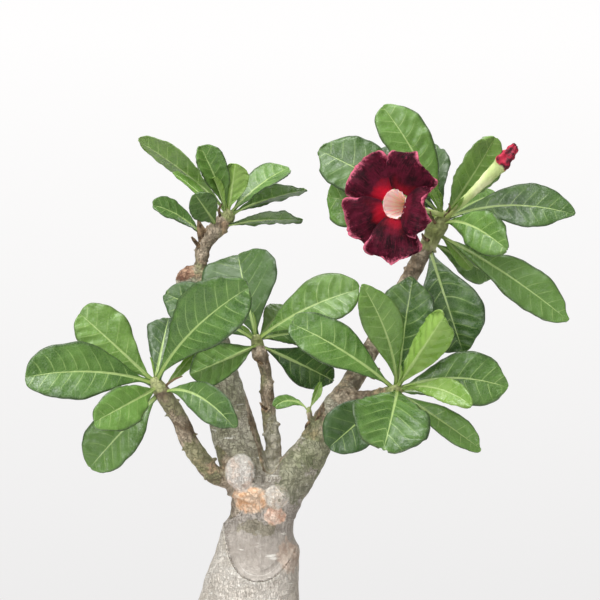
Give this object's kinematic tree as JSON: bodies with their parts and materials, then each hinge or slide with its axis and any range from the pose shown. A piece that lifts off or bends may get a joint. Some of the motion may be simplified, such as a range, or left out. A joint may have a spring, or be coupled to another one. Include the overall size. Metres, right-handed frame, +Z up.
{
  "type": "potted desert rose",
  "caption": "Grafted desert rose with a swollen trunk, forked limbs, rosettes of leaves, a dark red double-lobed flower and a spent bud, in a plain round clay pot.",
  "frame": {"origin": "centre of the pot's flat foot, on the surface that it stands on", "axes": "+Z up; -Y is the front, which the flower and the leaf rosettes face; +X is the right seen from the front, towards the limb with the flower"},
  "size_m": [0.3805, 0.196, 0.5135],
  "materials": {
    "clay": null,
    "soil": null,
    "bark": "smooth grey-beige skin bark with fine upright wrinkles, scars and a green tinge",
    "leaf": null,
    "young_leaf": "young leaf or pale underside, yellow-green, satin",
    "petal": "velvety near-black burgundy petal with pink frilled margin",
    "throat": "pale pink ribbed petal tissue, satin",
    "calyx": "yellow-green stalk and sepals, satin",
    "spent_bud": "pale yellow-green petal tube, dark red at its crumpled end"
  },
  "bodies": {
    "root": {"flower_stalk": "calyx", "flower_tube": "throat", "grafted_limbs": "bark", "leaf_lower_left_1": "leaf", "leaf_lower_left_2": "leaf", "leaf_lower_left_3": "leaf", "leaf_lower_left_4": "leaf", "leaf_lower_left_5": "leaf", "leaf_lower_left_6": "leaf", "leaf_lower_left_7": "leaf", "leaf_lower_left_8": "young_leaf", "leaf_lower_right_1": "leaf", "leaf_lower_right_10": "leaf", "leaf_lower_right_2": "leaf", "leaf_lower_right_3": "leaf", "leaf_lower_right_4": "young_leaf", "leaf_lower_right_5": "leaf", "leaf_lower_right_6": "young_leaf", "leaf_lower_right_7": "leaf", "leaf_lower_right_8": "leaf", "leaf_lower_right_9": "leaf", "leaf_middle_1": "leaf", "leaf_middle_2": "leaf", "leaf_middle_3": "leaf", "leaf_middle_4": "leaf", "leaf_middle_5": "leaf", "leaf_middle_6": "leaf", "leaf_middle_7": "leaf", "leaf_side_1": "leaf", "leaf_side_2": "young_leaf", "leaf_upper_left_1": "leaf", "leaf_upper_left_2": "leaf", "leaf_upper_left_3": "leaf", "leaf_upper_left_4": "leaf", "leaf_upper_left_5": "young_leaf", "leaf_upper_left_6": "leaf", "leaf_upper_left_7": "leaf", "leaf_upper_left_8": "leaf", "leaf_upper_right_1": "leaf", "leaf_upper_right_10": "leaf", "leaf_upper_right_11": "leaf", "leaf_upper_right_12": "leaf", "leaf_upper_right_2": "leaf", "leaf_upper_right_3": "leaf", "leaf_upper_right_4": "leaf", "leaf_upper_right_5": "leaf", "leaf_upper_right_6": "leaf", "leaf_upper_right_7": "leaf", "leaf_upper_right_8": "leaf", "leaf_upper_right_9": "leaf", "petal_bottom": "petal", "petal_lower_left": "petal", "petal_right": "petal", "petal_upper_left": "petal", "petal_upper_right": "petal", "pot": "clay", "rootstock": "bark", "soil": "soil", "spent_bud": "spent_bud"}
  },
  "joints": []
}
